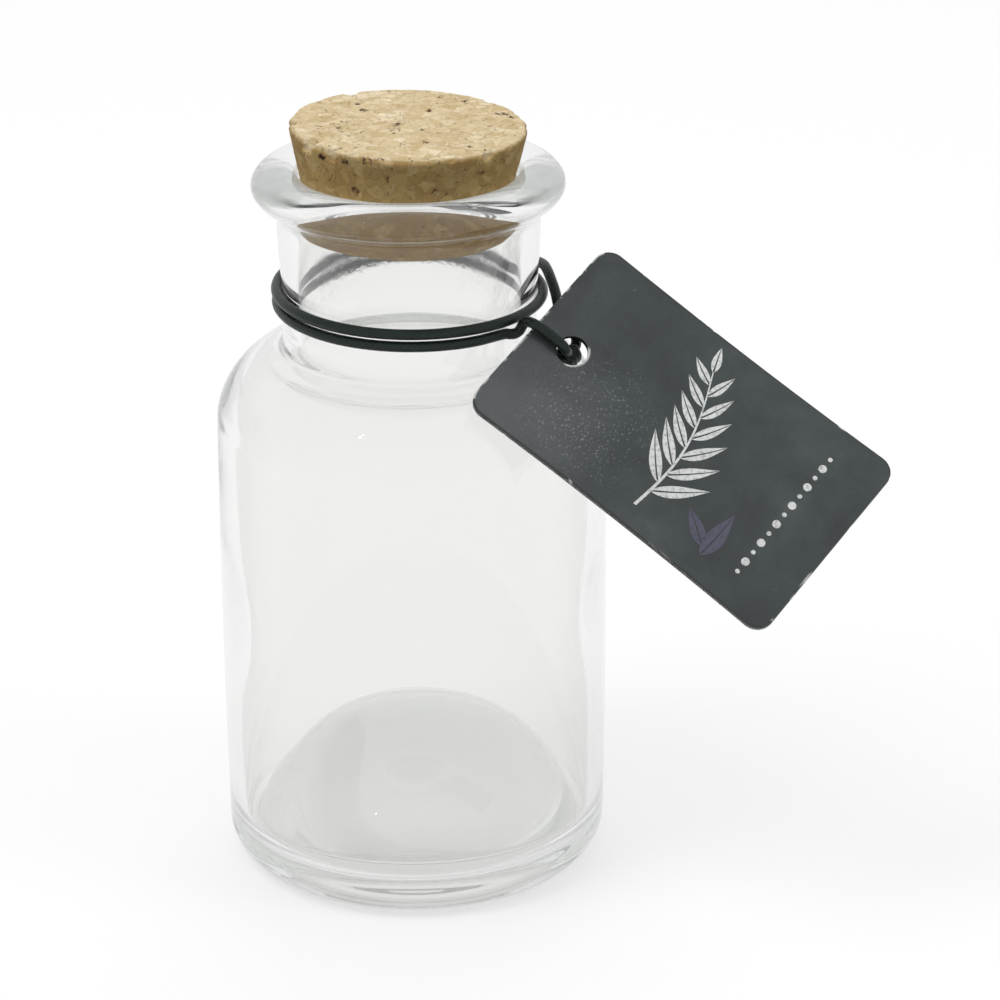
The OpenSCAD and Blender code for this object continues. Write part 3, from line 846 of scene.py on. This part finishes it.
def ink_material(name, colour, thin):
    m = Nodes(name)
    rub = m.ramp(m.noise(1500, 4, 0.65), [(0.36, 0.0), (0.52, 1.0)])
    cloud = m.ramp(m.noise(160, 3, 0.5), [(0.3, 0.85), (0.7, 1.0)])
    shade = m.mix(m.math("MULTIPLY", rub, cloud), thin, colour)
    return m.use(colour=shade, rough=m.ramp(rub, [(0.0, 0.42), (1.0, 0.28)]), coat=0.25, coat_rough=0.12)


sprig = [[(stem(i / 24) + Vector((-0.30 + 0.008 * i, 0)), stem(i / 24) + Vector((0.30 - 0.008 * i, 0))) for i in range(25)]]
for step in range(12):
    t = 0.13 + 0.072 * step
    ahead = stem(t + 0.01) - stem(t)
    hand = 1 if step % 2 else -1
    sprig += leaf(stem(t), math.atan2(ahead.y, ahead.x) + math.radians(50 - 0.6 * step) * hand, 10.4 - 0.42 * step,
                  2.55 - 0.06 * step, -0.10 * hand)
sprig += leaf(stem(1.0), math.atan2(1, -0.35), 5.2, 1.9)
sprig += [dot(46.2, -13.5 + 2.25 * i, 0.75 if i % 2 else 0.42) for i in range(13)]
loose = leaf((39.5, -15.5), math.radians(84), 9.8, 3.6, 0.08) + leaf((38.9, -14.0), math.radians(140), 7.4, 2.8, 0.08)
white_print = print_on_tag("tag_print_white", sprig)
white_print.data.materials.append(ink_material("white_ink", (0.80, 0.81, 0.80), (0.45, 0.46, 0.46)))
grey_print = print_on_tag("tag_print_grey", loose)
grey_print.data.materials.append(ink_material("violet_grey_ink", (0.088, 0.086, 0.135), (0.060, 0.064, 0.085)))


# ---------------------------------------------------------------- floor, world and lamps
def make_floor():
    size = 6.0
    floor = make_object("floor", [(-size, -size, 0), (size, -size, 0), (size, size, 0), (-size, size, 0)], [(0, 1, 2, 3)], False)
    material = bpy.data.materials.new("pale_floor")
    material.use_nodes = True
    tree = material.node_tree
    tree.nodes.clear()
    output = tree.nodes.new("ShaderNodeOutputMaterial")
    matte = tree.nodes.new("ShaderNodeBsdfDiffuse")
    matte.inputs["Color"].default_value = (0.34, 0.34, 0.34, 1)
    lift = tree.nodes.new("ShaderNodeEmission")
    path = tree.nodes.new("ShaderNodeLightPath")
    seen = None
    for name in ("Is Camera Ray", "Is Glossy Ray", "Is Transmission Ray"):
        if seen is None:
            seen = path.outputs[name]
            continue
        add = tree.nodes.new("ShaderNodeMath")
        add.operation = "MAXIMUM"
        tree.links.new(seen, add.inputs[0])
        tree.links.new(path.outputs[name], add.inputs[1])
        seen = add.outputs[0]
    scale = tree.nodes.new("ShaderNodeMath")
    scale.operation = "MULTIPLY"
    scale.inputs[1].default_value = 0.66
    tree.links.new(seen, scale.inputs[0])
    tree.links.new(scale.outputs[0], lift.inputs["Strength"])
    both = tree.nodes.new("ShaderNodeAddShader")
    tree.links.new(matte.outputs[0], both.inputs[0])
    tree.links.new(lift.outputs[0], both.inputs[1])
    tree.links.new(both.outputs[0], output.inputs["Surface"])
    floor.data.materials.append(material)


def make_world():
    world = bpy.data.worlds.new("studio")
    scene.world = world
    world.use_nodes = True
    tree = world.node_tree
    tree.nodes.clear()
    output = tree.nodes.new("ShaderNodeOutputWorld")
    light = tree.nodes.new("ShaderNodeBackground")
    light.inputs["Strength"].default_value = 0.64
    seen_sky = tree.nodes.new("ShaderNodeBackground")
    where = tree.nodes.new("ShaderNodeTexCoord")
    parts = tree.nodes.new("ShaderNodeSeparateXYZ")
    tree.links.new(where.outputs["Generated"], parts.inputs[0])

    def by_height(stops):
        ramp = tree.nodes.new("ShaderNodeValToRGB")
        tree.links.new(parts.outputs[2], ramp.inputs[0])
        while len(ramp.color_ramp.elements) < len(stops):
            ramp.color_ramp.elements.new(0.5)
        for element, (at, grey) in zip(ramp.color_ramp.elements, stops):
            element.position = at
            element.color = (grey, grey, grey, 1)
        return ramp.outputs[0]
    tree.links.new(by_height([(0.0, 0.22), (0.25, 0.30), (0.60, 0.85), (1.0, 1.0)]), light.inputs["Color"])
    white = tree.nodes.new("ShaderNodeBackground")
    white.inputs["Color"].default_value = (1, 1, 1, 1)
    aside = tree.nodes.new("ShaderNodeMath")
    aside.operation = "ABSOLUTE"
    tree.links.new(parts.outputs[0], aside.inputs[0])
    sides = tree.nodes.new("ShaderNodeMapRange")
    tree.links.new(aside.outputs[0], sides.inputs["Value"])
    for key, value in (("From Min", 0.45), ("From Max", 1.0), ("To Min", 1.0), ("To Max", 0.84)):
        sides.inputs[key].default_value = value
    tree.links.new(by_height([(0.0, 1.0), (0.28, 0.98), (0.55, 0.86), (0.80, 0.70), (1.0, 0.74)]), seen_sky.inputs["Color"])
    tree.links.new(sides.outputs["Result"], seen_sky.inputs["Strength"])
    path = tree.nodes.new("ShaderNodeLightPath")
    shine = tree.nodes.new("ShaderNodeMath")
    shine.operation = "MAXIMUM"
    tree.links.new(path.outputs["Is Glossy Ray"], shine.inputs[0])
    tree.links.new(path.outputs["Is Transmission Ray"], shine.inputs[1])
    first = tree.nodes.new("ShaderNodeMixShader")
    tree.links.new(shine.outputs[0], first.inputs[0])
    tree.links.new(light.outputs[0], first.inputs[1])
    tree.links.new(seen_sky.outputs[0], first.inputs[2])
    second = tree.nodes.new("ShaderNodeMixShader")
    tree.links.new(path.outputs["Is Camera Ray"], second.inputs[0])
    tree.links.new(first.outputs[0], second.inputs[1])
    tree.links.new(white.outputs[0], second.inputs[2])
    tree.links.new(second.outputs[0], output.inputs["Surface"])


def make_lamp(name, place, aim, size, watts, glints=False):
    data = bpy.data.lights.new(name, "AREA")
    data.shape = "RECTANGLE"
    data.size, data.size_y = size
    data.energy = watts
    lamp = bpy.data.objects.new(name, data)
    scene.collection.objects.link(lamp)
    lamp.location = place
    lamp.rotation_euler = (Vector(aim) - Vector(place)).to_track_quat("-Z", "Y").to_euler()
    lamp.visible_glossy = glints
    lamp.visible_transmission = glints
    return lamp


make_floor()
make_world()
make_lamp("key", (-0.55, -0.30, 1.15), (0, 0, 0.08), (0.5, 0.7), 6.2)
make_lamp("fill", (0.75, -0.25, 0.95), (0, 0, 0.08), (0.4, 0.5), 2.3)
make_lamp("back", (0.1, 0.8, 1.1), (0, 0, 0.08), (0.9, 0.5), 3.4)
make_lamp("sparkle", (-0.45, -0.55, 0.85), (0, 0, 0.08), (0.03, 0.03), 0.04, True)
